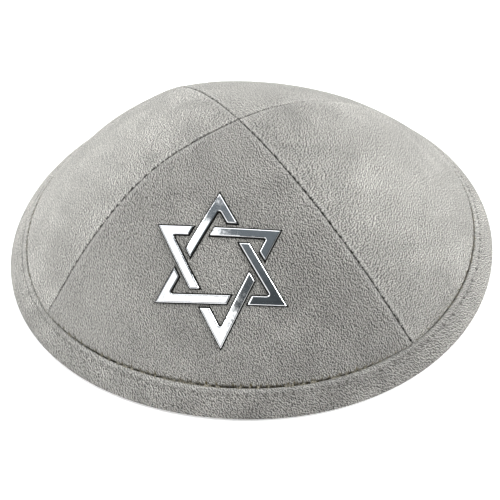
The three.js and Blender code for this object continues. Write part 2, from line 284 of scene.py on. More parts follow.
def gore_columns(left, right, radius):
    """Azimuth and distance from the nearer seam of each column of a row of points."""
    half = radius * (right - left) / 2
    steps = EDGE_STEPS * min(1, half / EDGE_ROOM)
    inner = steps[-1] + (half - steps[-1]) * np.arange(1, MIDDLE_STEPS + 1) / MIDDLE_STEPS
    distance = np.concatenate([steps, inner])
    turn = distance / radius
    azimuth = np.concatenate([left + turn, right - turn[-2::-1]])
    return azimuth, np.concatenate([distance, distance[-2::-1]])


def sag(gore, points, seam, height):
    """Soft hollows where the cloth isn't held, none beside a seam, the band or the emblem."""
    flat = points.reshape(-1, 3) / SAG_SIZE + (7.3 * gore, 0, 0)
    hollow = np.array([noise.noise(Vector(point)) for point in flat]).reshape(points.shape[:-1])
    free = smooth(seam, *SAG_FROM_SEAM) * smooth(height, *SAG_FROM_BAND)
    if gore == 0:
        centre = crown_point(0, np.array(EMBLEM_AZIMUTH), np.array(EMBLEM_CLIMB))
        away = np.linalg.norm(points - centre, axis=-1)
        free = free * smooth(away, EMBLEM_REACH, EMBLEM_REACH + SAG_FROM_EMBLEM)
    return SAG_DEPTH * hollow * free


def gore_grid(gore):
    """Rows of points of both faces of a gore from the hem to the top, with cloth and edge coordinates."""
    foot = float(np.mean(foot_radius(np.linspace(0, 2 * math.pi, 72))))
    rows = []
    left, right = (float(edge) for edge in gore_edges(gore, 0.0))
    azimuth, seam = gore_columns(left, right, foot)
    around = foot * (azimuth - (left + right) / 2)
    for share in HEM_SHARES:
        depth = BAND_CLOTH + GORE_CLEARANCE
        outer = band_point(azimuth, share, depth)
        inner = band_point(azimuth, share, depth + GORE_CLOTH)
        height = np.full(azimuth.shape, (share - 1) * math.hypot(BAND_HEIGHT, BAND_LEAN))
        rows.append((outer, inner, around, height, seam))
    reaches = list(1 - TUCK_STEPS / MERIDIAN)
    reaches += list(np.linspace(reaches[-1], 0, CROWN_STEPS + 1)[1:-1])
    reaches.append(SEAM_GAP / foot)
    height = 0.0
    before = None
    for reach in reaches:
        climb = 2 / math.pi * math.acos(reach)
        left, right = (float(edge) for edge in gore_edges(gore, climb))
        radius = foot * reach
        azimuth, seam = gore_columns(left, right, radius)
        base = crown_point(gore, azimuth, np.full(azimuth.shape, climb))
        middle = base[len(base) // 2]
        height += 0.0 if before is None else float(np.linalg.norm(middle - before))
        before = middle
        normal = crown_normal(azimuth, climb)
        up = np.full(azimuth.shape, height)
        half = radius * (right - left) / 2
        roll = min(SEAM_ROLL, 0.6 * half)
        near = np.clip(1 - seam / roll, 0, 1)
        way_up = height / SEAM_LENGTH
        left_open, right_open = (seam_opening(SEAMS[place], way_up) for place in (gore - 1, gore))
        opened = np.where(azimuth < (left + right) / 2, left_open, right_open)
        rolled = roll * (1 - np.sqrt(1 - 0.98 * near**2)) * (0.1 + 0.9 * opened)
        tuck = (BAND_CLOTH + GORE_CLEARANCE) * (1 - float(smooth(height, 0, TUCK_REACH)))
        soft = sag(gore, base, seam, up)
        allowance = ALLOWANCE_RISE * (1 - smooth(seam, SEAM_ALLOWANCE, SEAM_ALLOWANCE + ALLOWANCE_EDGE))
        allowance = allowance * smooth(up, *ALLOWANCE_START)
        outer = base + normal * (soft - tuck - rolled)[:, None]
        inner = base + normal * (soft - tuck - GORE_CLOTH - allowance)[:, None]
        rows.append((outer, inner, radius * (azimuth - (left + right) / 2), up, seam))
    tip = rows[-1]
    rows[-1] = (*(np.broadcast_to(face.mean(0), face.shape) for face in tip[:2]), *tip[2:])
    return [np.array([row[part] for row in rows]) for part in range(5)]


def grid_quads(numbers):
    """Quads between neighbours in a grid of vertices, facing out where columns run right and rows up."""
    corners = (numbers[:-1, :-1], numbers[:-1, 1:], numbers[1:, 1:], numbers[1:, :-1])
    return np.stack(corners, axis=-1).reshape(-1, 4)


def add_piece(name, mesh, material, node_names):
    """Puts a finished mesh in the scene, on the cap's one body."""
    for face in mesh.polygons:
        face.use_smooth = True
    mesh.materials.clear()
    mesh.materials.append(material)
    piece = bpy.data.objects.new(name, mesh)
    bpy.context.collection.objects.link(piece)
    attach(piece, "root")
    if node_names:
        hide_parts(*node_names)
    return piece


def corner_vertices(mesh):
    numbers = np.zeros(len(mesh.loops), dtype=np.int32)
    mesh.loops.foreach_get("vertex_index", numbers)
    return numbers


def gore_mesh(gore):
    outer, inner, around, up, seam = gore_grid(gore)
    rows, columns = seam.shape
    front = np.arange(rows * columns).reshape(rows, columns)
    back = front + rows * columns
    quads = [
        grid_quads(front),
        grid_quads(back[:, ::-1]),
        grid_quads(np.stack([back[:, 0], front[:, 0]], axis=1)),
        grid_quads(np.stack([front[:, -1], back[:, -1]], axis=1)),
        grid_quads(np.stack([back[0], front[0]])),
    ]
    mesh = bpy.data.meshes.new(GORES[gore]["name"])
    points = np.concatenate([outer.reshape(-1, 3), inner.reshape(-1, 3)])
    mesh.from_pydata(points.tolist(), [], np.concatenate(quads).tolist())
    flat = np.stack([around.ravel(), up.ravel()], axis=1)
    edge = np.stack([seam.ravel(), up.ravel(), up.ravel()], axis=1)
    cloth = mesh.uv_layers.new(name="cloth")
    cloth.uv.foreach_set("vector", np.concatenate([flat, flat])[corner_vertices(mesh)].ravel())
    edges = mesh.attributes.new("edges", "FLOAT_VECTOR", "POINT")
    edges.data.foreach_set("vector", np.concatenate([edge, edge]).ravel())
    left_open, right_open = (
        seam_opening(side, up / SEAM_LENGTH) * (1 - side["cover"]) for side in (SEAMS[gore - 1], SEAMS[gore])
    )
    opened = np.where(around < 0, left_open, right_open).ravel()
    mesh.attributes.new("open", "FLOAT", "POINT").data.foreach_set("value", np.concatenate([opened, opened]))
    shell = bmesh.new()
    shell.from_mesh(mesh)
    bmesh.ops.remove_doubles(shell, verts=shell.verts, dist=MERGE_DISTANCE)
    shell.to_mesh(mesh)
    shell.free()
    mesh.set_sharp_from_angle(angle=CLOTH_SHARP)
    return mesh


class Wire:
    """One output of a node. A name in brackets leads to another output of the same node. Sums, products and
    quotients of wires become Math nodes in their tree."""

    def __init__(self, socket):
        self.socket = socket

    def __getitem__(self, name):
        return Wire(self.socket.node.outputs[name])

    def __add__(self, other):
        return calc("ADD", self, other)

    def __sub__(self, other):
        return calc("SUBTRACT", self, other)

    def __rsub__(self, other):
        return calc("SUBTRACT", other, self)

    def __mul__(self, other):
        return calc("MULTIPLY", self, other)

    def __truediv__(self, other):
        return calc("DIVIDE", self, other)

    def __rtruediv__(self, other):
        return calc("DIVIDE", other, self)


def add_node(tree, kind, inputs=None, **settings):
    """Adds a node with its settings, and fills or links its inputs, which are given by name or by number. The
    result is its first output."""
    node = tree.nodes.new(kind)
    for name, value in settings.items():
        setattr(node, name, value)
    for name, value in (inputs or {}).items():
        if isinstance(name, int):
            socket = node.inputs[name]
        else:
            socket = next(entry for entry in node.inputs if entry.enabled and entry.name == name)
        if isinstance(value, Wire):
            tree.links.new(value.socket, socket)
        else:
            socket.default_value = value
    return next((Wire(entry) for entry in node.outputs if entry.enabled), None)


def calc(operation, *values, kind="ShaderNodeMath"):
    """The result of one Math or Vector Math node, in the tree of its wires."""
    tree = next(value.socket.id_data for value in values if isinstance(value, Wire))
    return add_node(tree, kind, dict(enumerate(values)), operation=operation)


def vector_calc(operation, *values):
    return calc(operation, *values, kind="ShaderNodeVectorMath")


def ramp(value, start, end, low=0.0, high=1.0):
    """A smooth step from low to high while value goes from start to end."""
    inputs = {"Value": value, "From Min": start, "From Max": end, "To Min": low, "To Max": high}
    return add_node(value.socket.id_data, "ShaderNodeMapRange", inputs, interpolation_type="SMOOTHSTEP")


def blend(share, first, second):
    """A colour between two others."""
    inputs = {"Factor": share, "A": first, "B": second}
    return add_node(share.socket.id_data, "ShaderNodeMix", inputs, data_type="RGBA")


def new_group(name, kind, inputs, outputs):
    """A node group and its inputs. Each is given as a default number or as the name of its kind of socket."""
    tree = bpy.data.node_groups.new(name, kind)
    for title, given in inputs.items():
        socket_type = given if isinstance(given, str) else type(given).__name__.capitalize()
        socket = tree.interface.new_socket(name=title, in_out="INPUT", socket_type="NodeSocket" + socket_type)
        if not isinstance(given, str):
            socket.default_value = given
    for title, socket_type in outputs.items():
        tree.interface.new_socket(name=title, in_out="OUTPUT", socket_type="NodeSocket" + socket_type)
    sockets = tree.nodes.new("NodeGroupInput").outputs
    return tree, {title: Wire(sockets[title]) for title in inputs}


# Nap: short fibres brushed one way, in tufts with painted light and shade on their flanks, broad patches, and
# specks of dust.
nap_group, given = new_group(
    "brushed_nap",
    "ShaderNodeTree",
    {
        "Cloth": "Vector",
        "Lay": 0.0,
        "Tuft Length": 0.00064,
        "Tuft Width": 0.00044,
        "Lit Side": 0.5,
        "Patch Size": 0.026,
        "Dust Scale": 110.0,
        "Dust Share": 0.035,
    },
    {"Tuft": "Float", "Height": "Float", "Patch": "Float", "Speck": "Float"},
)
turned = add_node(
    nap_group,
    "ShaderNodeVectorRotate",
    {"Vector": given["Cloth"], "Angle": given["Lay"]},
    rotation_type="Z_AXIS",
)
across_grain = 1 / given["Tuft Width"]
tuft_grain = add_node(
    nap_group, "ShaderNodeCombineXYZ", {"X": 1 / given["Tuft Length"], "Y": across_grain, "Z": across_grain}
)
stretched = vector_calc("MULTIPLY", turned, tuft_grain)
sideways = add_node(nap_group, "ShaderNodeCombineXYZ", {"Y": given["Lit Side"]})
beside = vector_calc("ADD", stretched, sideways)
tuft_form = {"Scale": 1.0, "Detail": 2.0, "Roughness": 0.6, "Distortion": 0.4}
tufts = add_node(nap_group, "ShaderNodeTexNoise", {"Vector": stretched, **tuft_form})
tufts_beside = add_node(nap_group, "ShaderNodeTexNoise", {"Vector": beside, **tuft_form})
# Painted light and shade: a tuft minus its neighbour to one side lights one flank and shades the other.
tuft_light = (tufts - 0.5) * 0.8 + (tufts - tufts_beside)
patches = add_node(
    nap_group,
    "ShaderNodeTexNoise",
    {
        "Vector": given["Cloth"],
        "Scale": 1 / given["Patch Size"],
        "Detail": 3.0,
        "Roughness": 0.55,
        "Distortion": 0.4,
    },
)
dust = add_node(
    nap_group,
    "ShaderNodeTexVoronoi",
    {"Vector": given["Cloth"], "Scale": given["Dust Scale"], "Randomness": 1.0},
    feature="F1",
)
dust_draw = add_node(nap_group, "ShaderNodeSeparateColor", {"Color": dust["Color"]})
dust_here = calc("GREATER_THAN", dust_draw, 1 - given["Dust Share"])
add_node(
    nap_group,
    "NodeGroupOutput",
    {
        "Tuft": ramp(tuft_light, -0.125, 0.125),
        "Height": ramp(tufts, 0.3, 0.7),
        "Patch": ramp(patches, 0.3, 0.7),
        "Speck": ramp(dust["Distance"], 0.03, 0.06, 1.0, 0.0) * dust_here,
    },
)

# Spot: a soft round place in the nap, from 0 around it to its full strength in the middle, partly rubbed nap
# and partly painted light and shade.
spot_group, given = new_group(
    "rubbed_and_painted_light_place",
    "ShaderNodeTree",
    {"Cloth": "Vector", "Middle": "Vector", "Reach": 0.02, "Strength": 0.1},
    {"Spot": "Float"},
)
spot_form = {"Vector": given["Cloth"], "Scale": 90.0, "Detail": 3.0}
spot_wander = add_node(spot_group, "ShaderNodeTexNoise", spot_form)
spot_away = vector_calc("DISTANCE", given["Cloth"], given["Middle"])
spot_edge = (spot_wander - 0.5) * 1.4 + spot_away / given["Reach"]
add_node(spot_group, "NodeGroupOutput", {"Spot": ramp(spot_edge, 0.0, 1.0, given["Strength"], 0.0)})

# Crease: painted shade in the crease of a turned edge, and a lighter shoulder beside it that is part wear and
# part painted highlight, from its distance to the edge and the way along it. It wavers, because the nap
# reaches over it here and there, and each stitch draws it wider.
crease_group, given = new_group(
    "turned_edge",
    "ShaderNodeTree",
    {
        "Distance": 0.0,
        "Along": 0.0,
        "Crease Width": 0.00037,
        "Waver": 0.6,
        "Waver Size": 0.0019,
        "Shoulder Width": 0.0012,
        "Pucker Width": 0.0035,
        "Stitch Pitch": 0.003,
    },
    {"Crease": "Float", "Shoulder": "Float", "Pucker": "Float"},
)
away = calc("ABSOLUTE", given["Distance"])
waver_noise = add_node(
    crease_group,
    "ShaderNodeTexNoise",
    {"W": given["Along"] / given["Waver Size"], "Scale": 1.0, "Detail": 2.0, "Roughness": 0.6},
    noise_dimensions="1D",
)
shown = 1 - given["Waver"] * (1 - ramp(waver_noise, 0.4, 0.6))
stitch_wave = calc("COSINE", given["Along"] / given["Stitch Pitch"] * (2 * math.pi))
width_here = given["Crease Width"] * (shown * (stitch_wave * 0.45 + 0.9) + 0.25)
shoulder_in = ramp(away, given["Crease Width"], given["Crease Width"] * 2)
shoulder_out = ramp(away, given["Shoulder Width"], given["Shoulder Width"] * 1.8, 1.0, 0.0)
add_node(
    crease_group,
    "NodeGroupOutput",
    {
        "Crease": ramp(away, width_here * 0.45, width_here, 1.0, 0.0) * shown,
        "Shoulder": shoulder_in * shoulder_out,
        "Pucker": stitch_wave * ramp(away, 0.0, given["Pucker Width"], 1.0, 0.0),
    },
)

# Needle holes: pits painted dark as shade, at an even pitch along a line of stitching, where the nap leaves
# them open.
needle_group, given = new_group(
    "needle_holes",
    "ShaderNodeTree",
    {"Off Line": 0.0, "Along": 0.0, "Stitch Pitch": 0.003, "Hole Radius": 0.0007, "Nap Size": 0.0048},
    {"Hole": "Float"},
)
hole_turn = given["Along"] / given["Stitch Pitch"]
hole_along = (hole_turn - calc("ROUND", hole_turn)) * given["Stitch Pitch"]
hole_away = calc("SQRT", hole_along * hole_along + given["Off Line"] * given["Off Line"])
hole_noise = add_node(
    needle_group,
    "ShaderNodeTexNoise",
    {"W": given["Along"] / given["Nap Size"], "Scale": 1.0, "Detail": 1.0},
    noise_dimensions="1D",
)
hole_mark = ramp(hole_away, given["Hole Radius"] * 0.4, given["Hole Radius"], 1.0, 0.0)
add_node(needle_group, "NodeGroupOutput", {"Hole": hole_mark * ramp(hole_noise, 0.36, 0.58, 0.1, 1.0)})

SUEDE_LIGHT = (0.888, 0.866, 0.809)
SUEDE_DARK = (0.152, 0.148, 0.137)
WORN_AND_HIGHLIGHT_COLOUR = (0.78, 0.77, 0.74, 1)
# Painted shade for the creases; the hem's shade has an olive-brown stain in it too.
CREASE_SHADE_COLOUR = (0.02, 0.019, 0.015, 1)
HEM_SHADE_AND_STAIN_COLOUR = (0.105, 0.084, 0.03, 1)
HOLE_SHADE_COLOUR = (0.05, 0.048, 0.04, 1)
DUST_COLOUR = (0.06, 0.055, 0.05, 1)
SHOULDER_WEAR_AND_HIGHLIGHT = 0.16
DUST_STRENGTH = 0.7
PUCKER_RELIEF = 0.45
NAP_RELIEF = 0.0004
# The hem's crease gapes round the front and the right, where the cloth reaches far along this way, and its
# painted shade is wider there.
GAPE_WAY = (0.35, -0.937, 0)
GAPE_REACH = (0.012, 0.036)
HEM_CREASE_WIDTHS = (0.00095, 0.0018)
HEM_WAVER = 0.6
HEM_WAVER_SIZE = 0.0009
# The needle holes are plainer towards the right.
HOLE_REACH = (-0.02, 0.055)
HOLE_STRENGTHS = (0.35, 1.0)


def new_material(name):
    """An empty material and its node tree."""
    material = bpy.data.materials.new(name)
    material.use_nodes = True
    material.node_tree.nodes.clear()
    return material, material.node_tree


def add_surface(tree, inputs):
    """The one shader of a material."""
    surface = add_node(tree, "ShaderNodeBsdfPrincipled", inputs)
    add_node(tree, "ShaderNodeOutputMaterial", {"Surface": surface})


def suede_material(name, lay, tuft, shade, lean, rubs, pitch, topstitched=False):
    """Suede for one cut piece: its own lay of the nap and its shade, partly painted light and shade, painted
    shade in the crease at its sewn edges, and either painted shade in a crease above its hem or in the needle
    holes of a topstitch."""
    material, tree = new_material(name)
    cloth = add_node(tree, "ShaderNodeUVMap", uv_map="cloth")
    place = add_node(tree, "ShaderNodeTexCoord")["Object"]
    edge_vector = add_node(tree, "ShaderNodeAttribute", attribute_name="edges")["Vector"]
    edges = add_node(tree, "ShaderNodeSeparateXYZ", {0: edge_vector})
    nap = add_node(
        tree,
        "ShaderNodeGroup",
        {"Cloth": cloth, "Lay": math.radians(lay), "Tuft Length": tuft[0], "Tuft Width": tuft[1]},
        node_tree=nap_group,
    )
    seam = add_node(
        tree,
        "ShaderNodeGroup",
        {"Distance": edges["X"], "Along": edges["Y"], "Stitch Pitch": pitch},
        node_tree=crease_group,
    )
    if topstitched:
        hole = add_node(
            tree,
            "ShaderNodeGroup",
            {"Off Line": edges["Z"], "Along": edges["Y"], "Stitch Pitch": pitch},
            node_tree=needle_group,
        )
        rightwards = add_node(tree, "ShaderNodeSeparateXYZ", {0: place})["X"]
        hem_shade_mark = hole * ramp(rightwards, *HOLE_REACH, *HOLE_STRENGTHS)
        hem_shade_colour = HOLE_SHADE_COLOUR
        seam_shade_mark = seam["Crease"]
    else:
        gaping = vector_calc("DOT_PRODUCT", place, GAPE_WAY)
        hem_shade_mark = add_node(
            tree,
            "ShaderNodeGroup",
            {
                "Distance": edges["Z"],
                "Along": add_node(tree, "ShaderNodeSeparateXYZ", {0: cloth})["X"],
                "Crease Width": ramp(gaping, *GAPE_REACH, *HEM_CREASE_WIDTHS),
                "Waver": HEM_WAVER,
                "Waver Size": HEM_WAVER_SIZE,
            },
            node_tree=crease_group,
        )["Crease"]
        hem_shade_colour = HEM_SHADE_AND_STAIN_COLOUR
        seam_shade_mark = seam["Crease"] * add_node(tree, "ShaderNodeAttribute", attribute_name="open")["Fac"]
    dark, light = ((*(shade * part for part in colour), 1) for colour in (SUEDE_DARK, SUEDE_LIGHT))
    # Painted light and shade, partly the nap: each piece's shade, its lean across the cap and its spots.
    patch_shade = ramp(nap["Patch"], 0.0, 1.0, 0.88, 1.11) + vector_calc("DOT_PRODUCT", place, lean)
    for across, up, reach, strength in rubs:
        spot = {"Cloth": cloth, "Middle": (across, up, 0), "Reach": reach, "Strength": strength}
        patch_shade = patch_shade + add_node(tree, "ShaderNodeGroup", spot, node_tree=spot_group)
    patch_tint = add_node(tree, "ShaderNodeCombineXYZ", dict.fromkeys("XYZ", patch_shade))
    colour = vector_calc("MULTIPLY", blend(nap["Tuft"], dark, light), patch_tint)
    # The shoulder beside each crease is lighter: part wear, part painted highlight.
    colour = blend(seam["Shoulder"] * SHOULDER_WEAR_AND_HIGHLIGHT, colour, WORN_AND_HIGHLIGHT_COLOUR)
    # Painted shade in the crease above the hem, with an olive stain, or in the needle holes.
    colour = blend(hem_shade_mark, colour, hem_shade_colour)
    # Painted shade in the seam crease.
    colour = blend(seam_shade_mark, colour, CREASE_SHADE_COLOUR)
    colour = blend(nap["Speck"] * DUST_STRENGTH, colour, DUST_COLOUR)
    relief = nap["Height"] + seam["Pucker"] * PUCKER_RELIEF
    bump = add_node(tree, "ShaderNodeBump", {"Strength": 1.0, "Distance": NAP_RELIEF, "Height": relief})
    add_surface(
        tree,
        {
            "Base Color": colour,
            "Roughness": ramp(nap["Tuft"], 0.0, 1.0, 0.98, 0.86),
            "Normal": bump,
            "Specular IOR Level": 0.15,
            "Sheen Weight": 0.45,
            "Sheen Roughness": 0.4,
            "Sheen Tint": (0.95, 0.94, 0.9, 1),
        },
    )
    return material


SEAM_PITCH = 0.0031

for gore, row in enumerate(GORES):
    nap_and_painted_light = (row["lay"], row["tuft"], row["shade"], row["lean"], row["rubs"])
    suede = suede_material("suede_" + row["name"], *nap_and_painted_light, SEAM_PITCH)
    add_piece(row["name"], gore_mesh(gore), suede, [row["node"]])

# Seam stitches
# Fine dark cotton that draws two gores together. Each stitch crosses the crease, and its ends sink into the
# nap, so only the middle of the thread shows.

SEAM_THREAD = 0.00026
SEAM_STITCH = 0.0011
SEAM_STITCH_DEPTH = 0.00055
SEAM_REACHES = (0.995, 0.03)
SEAM_SAMPLES = 400
STITCH_SEEN = 0.4  # how far a seam has to stand open for its stitches to show

strand_tree, given = new_group(
    "short_strands",
    "GeometryNodeTree",
    {
        "Roots": "Geometry",
        "Strand Length": 0.002,
        "Strand Thickness": 0.0003,
        "Arch": 0.0002,
        "Sink": 0.0002,
        "Turn": 0.0,
        "Wander": 0.1,
        "Bends": 6,
        "Sides": 6,
        "Seed": 0,
        "Thread": "Material",
    },
    {"Geometry": "Geometry"},
)
half_length = given["Strand Length"] * 0.5
end_height = given["Sink"] * -1
strand_path = add_node(
    strand_tree,
    "GeometryNodeCurveQuadraticBezier",
    {
        "Resolution": given["Bends"],
        "Start": add_node(strand_tree, "ShaderNodeCombineXYZ", {"X": half_length * -1, "Z": end_height}),
        "Middle": add_node(strand_tree, "ShaderNodeCombineXYZ", {"Z": given["Arch"] * 2}),
        "End": add_node(strand_tree, "ShaderNodeCombineXYZ", {"X": half_length, "Z": end_height}),
    },
)
strand_round = add_node(
    strand_tree,
    "GeometryNodeCurvePrimitiveCircle",
    {"Resolution": given["Sides"], "Radius": given["Strand Thickness"] * 0.5},
    mode="RADIUS",
)
strand = add_node(
    strand_tree,
    "GeometryNodeCurveToMesh",
    {"Curve": strand_path, "Profile Curve": strand_round, "Fill Caps": True},
)
outward, along = (
    add_node(strand_tree, "GeometryNodeInputNamedAttribute", {"Name": title}, data_type="FLOAT_VECTOR")
    for title in ("outward", "along")
)
upright = add_node(strand_tree, "FunctionNodeAlignRotationToVector", {"Vector": outward}, axis="Z")
facing = add_node(
    strand_tree,
    "FunctionNodeAlignRotationToVector",
    {"Rotation": upright, "Vector": along},
    axis="X",
    pivot_axis="Z",
)
swing_angle = add_node(
    strand_tree,
    "FunctionNodeRandomValue",
    {
        "Min": given["Turn"] - given["Wander"],
        "Max": given["Turn"] + given["Wander"],
        "Seed": given["Seed"],
    },
    data_type="FLOAT",
)
swing = add_node(strand_tree, "FunctionNodeAxisAngleToRotation", {"Axis": (0, 0, 1), "Angle": swing_angle})
pointed = add_node(
    strand_tree,
    "FunctionNodeRotateRotation",
    {"Rotation": facing, "Rotate By": swing},
    rotation_space="LOCAL",
)
root_points = add_node(strand_tree, "GeometryNodeMeshToPoints", {"Mesh": given["Roots"]})
strands = add_node(
    strand_tree,
    "GeometryNodeInstanceOnPoints",
    {"Points": root_points, "Instance": strand, "Rotation": pointed},
)
whole = add_node(strand_tree, "GeometryNodeRealizeInstances", {"Geometry": strands})
coloured = add_node(strand_tree, "GeometryNodeSetMaterial", {"Geometry": whole, "Material": given["Thread"]})
add_node(strand_tree, "NodeGroupOutput", {"Geometry": coloured})


def run_tree(name, mesh, tree, values):
    """The plain mesh that a geometry tree makes of a mesh, with the tree's inputs given by name."""
    holder = bpy.data.objects.new(name, mesh)
    bpy.context.collection.objects.link(holder)
    modifier = holder.modifiers.new(name, "NODES")
    modifier.node_group = tree
    for socket in tree.interface.items_tree:
        if socket.in_out == "INPUT" and socket.name in values:
            modifier[socket.identifier] = values[socket.name]
    evaluated = holder.evaluated_get(bpy.context.evaluated_depsgraph_get())
    made = bpy.data.meshes.new_from_object(evaluated)
    holder.modifiers.clear()
    bpy.data.objects.remove(holder)
    return made


def root_mesh(name, points, outward_vectors, along_vectors):
    """The points that strands stand on, each with its way out of the suede and its way along the row."""
    mesh = bpy.data.meshes.new(name)
    mesh.from_pydata([tuple(point) for point in points], [], [])
    for title, vectors in (("outward", outward_vectors), ("along", along_vectors)):
        attribute = mesh.attributes.new(title, "FLOAT_VECTOR", "POINT")
        attribute.data.foreach_set("vector", np.asarray(vectors, dtype=float).ravel())
    return mesh


def seam_points(gore):
    """Stitch places along the seam after a gore, evenly spaced from the band to the top."""
    climbs = 2 / np.pi * np.arccos(np.linspace(*SEAM_REACHES, SEAM_SAMPLES))
    azimuths = seam_azimuth(SEAMS[gore], climbs)
    line = crown_point(gore, azimuths, climbs) - crown_normal(azimuths, climbs) * SEAM_STITCH_DEPTH
    run = np.concatenate([[0], np.cumsum(np.linalg.norm(np.diff(line, axis=0), axis=1))])
    places = np.arange(SEAM_PITCH / 2, run[-1], SEAM_PITCH)
    points = np.stack([np.interp(places, run, line[:, axis]) for axis in range(3)], axis=1)
    climbs_there = np.interp(places, run, climbs)
    outwards = crown_normal(seam_azimuth(SEAMS[gore], climbs_there), climbs_there)
    slopes = [np.interp(places, run, np.gradient(line[:, axis], run)) for axis in range(3)]
    seen = seam_opening(SEAMS[gore], places / run[-1]) > STITCH_SEEN
    return points[seen], outwards[seen], np.stack(slopes, axis=1)[seen]


def thread_material(name, colour, twist):
    """Spun cotton: slanting plies with painted shade in the grooves between them."""
    material, tree = new_material(name)
    plies = add_node(
        tree,
        "ShaderNodeTexWave",
        {
            "Vector": add_node(tree, "ShaderNodeTexCoord")["Object"],
            "Scale": twist,
            "Distortion": 1.5,
            "Detail": 2.0,
        },
        wave_type="BANDS",
        bands_direction="DIAGONAL",
    )["Fac"]
    # Painted shade: the grooves between the plies take 0.6 of the thread's colour.
    dark = (*(0.6 * part for part in colour), 1)
    relief = {"Strength": 0.4, "Distance": 0.00006, "Height": plies}
    add_surface(
        tree,
        {
            "Base Color": blend(plies, dark, (*colour, 1)),
            "Roughness": ramp(plies, 0.0, 1.0, 0.9, 0.7),
            "Normal": add_node(tree, "ShaderNodeBump", relief),
            "Specular IOR Level": 0.2,
        },
    )
    return material


def add_strands(name, roots, thread, values):
    """Puts a piece in the scene that is made of strands of one thread on their roots."""
    strands = run_tree(name, roots, strand_tree, {**values, "Thread": thread})
    add_piece(name, strands, thread, [])


seam_rows = [seam_points(gore) for gore in range(len(SEAMS))]
add_strands(
    "seam_stitches",
    root_mesh("seam_stitches", *(np.concatenate(part) for part in zip(*seam_rows))),
    thread_material("dark_thread", (0.07, 0.068, 0.06), 900.0),
    {
        "Strand Length": SEAM_STITCH,
        "Strand Thickness": SEAM_THREAD,
        "Arch": 0.00012,
        "Sink": 0.0001,
        "Turn": math.radians(74),
        "Wander": math.radians(16),
        "Seed": 3,
    },
)

# Rim band
# One long strip of the same suede, folded round the hems of the gores like a binding and closed at the back.
# It lies flat on its fold, leans in with the cap, and its upper edge is turned under.

BAND_SLOT = 0.0021
SLOT_SHARES = (0.98, 0.8, 0.62, 0.43)
BAND_TOE = 0.001
TOE_INSET = 0.0008
TOE_FLAT = 0.0008
LIP_ROUND = 0.00045
LIP_TURN = 0.0003
STITCH_LINE = 0.0018
STITCH_PITCH = 0.0032
GROOVE_DEPTH = 0.00022
GROOVE_WIDTH = 0.0004
BAND_STEPS = 1152

band_slant = math.hypot(BAND_HEIGHT, BAND_LEAN)
band_outward = crown_normal(np.array(math.radians(30)), 0.0)
BAND_TILT = (math.hypot(band_outward[0], band_outward[1]), band_outward[2])
# Where a point of the section isn't on the outer face, one of these says where it is, in place of its drop:
# on the slot's outer side, on its inner side, on the band's inner face, or under its foot.
UNDER_FOLD, IN_SLOT, INSIDE, FOOT = -0.001, -0.002, -0.003, -0.004


def band_outline():
    """The band's section: distance outside the rim's foot, height, and distance below the upper edge."""
    section = []

    def face(share, inset, drop):
        out = -BAND_LEAN * share + BAND_BULGE * math.sin(math.pi * share) - inset * BAND_TILT[0]
        section.append((out, BAND_HEIGHT * share - inset * BAND_TILT[1], drop))

    for share in np.linspace(0.13, 0.96, 26):
        drop = band_slant * (1 - share)
        groove = GROOVE_DEPTH * math.exp(-(((drop - STITCH_LINE) / GROOVE_WIDTH) ** 2))
        face(share, groove, drop)
    for angle in np.linspace(20, 90, 5):
        turn = math.radians(angle)
        rounding = LIP_ROUND * (1 - math.sin(turn)) / band_slant
        face(1 - 0.96 * rounding, LIP_ROUND * (1 - math.cos(turn)), 0.0)
    face(1, 0.8 * BAND_CLOTH, UNDER_FOLD)
    for share in SLOT_SHARES:
        face(share, BAND_CLOTH, UNDER_FOLD)
    slot_end = BAND_CLOTH + BAND_SLOT
    for share in SLOT_SHARES[::-1]:
        face(share, slot_end, IN_SLOT)
    face(1, slot_end + LIP_TURN, IN_SLOT)
    depth = slot_end + BAND_CLOTH
    face(1, depth - LIP_TURN, INSIDE)
    for share in (0.97, 0.9, 0.8, 0.68):
        face(share, depth, INSIDE)
    inner_foot = section[-1][0]
    for angle in (30, 60, 90):
        turn = math.radians(angle)
        out = inner_foot + BAND_TOE * (1 - math.cos(turn))
        section.append((out, BAND_TOE * (1 - math.sin(turn)) * 1.6, FOOT))
    section.append((-TOE_INSET - BAND_TOE - TOE_FLAT, 0.0, FOOT))
    for angle in (90, 60, 30, 12):
        turn = math.radians(angle)
        out = -TOE_INSET - BAND_TOE * (1 - math.cos(turn))
        section.append((out, BAND_TOE * (1 - math.sin(turn)), band_slant))
    return section


band_tree, given = new_group(
    "folded_strip",
    "GeometryNodeTree",
    {
        "Section": "Geometry",
        "Rim Width": 0.18,
        "Rim Depth": 0.17,
        "Rim Turn": 0.0,
        "Rim Corner": 0.0,
        "Steps Around": 720,
        "Band Height": 0.0075,
        "Stitch Pitch": 0.003,
        "Stitch Line": 0.0018,
        "Dimple Depth": 0.00015,
        "Dimple Width": 0.0006,
        "Ripple Depth": 0.0002,
        "Ripple Size": 0.02,
        "Seed": 0.0,
        "Cloth": "Material",
    },
    {"Geometry": "Geometry"},
)
ring = add_node(
    band_tree,
    "GeometryNodeCurvePrimitiveCircle",
    {"Resolution": given["Steps Around"], "Radius": 1.0},
    mode="RADIUS",
)
ring_azimuth = add_node(band_tree, "GeometryNodeSplineParameter")["Factor"] * (2 * math.pi) + math.pi
mean_radius = (given["Rim Width"] + given["Rim Depth"]) * 0.25
oval_wave = calc("COSINE", (ring_azimuth - given["Rim Turn"]) * 2)
oval = (given["Rim Width"] - given["Rim Depth"]) * 0.25 * oval_wave
corner = given["Rim Corner"] * 0.5 * (1 - calc("COSINE", ring_azimuth * 4))
ring_radius = mean_radius - oval + corner
ring_side = ring_radius * calc("SINE", ring_azimuth)
ring_front = ring_radius * calc("COSINE", ring_azimuth)
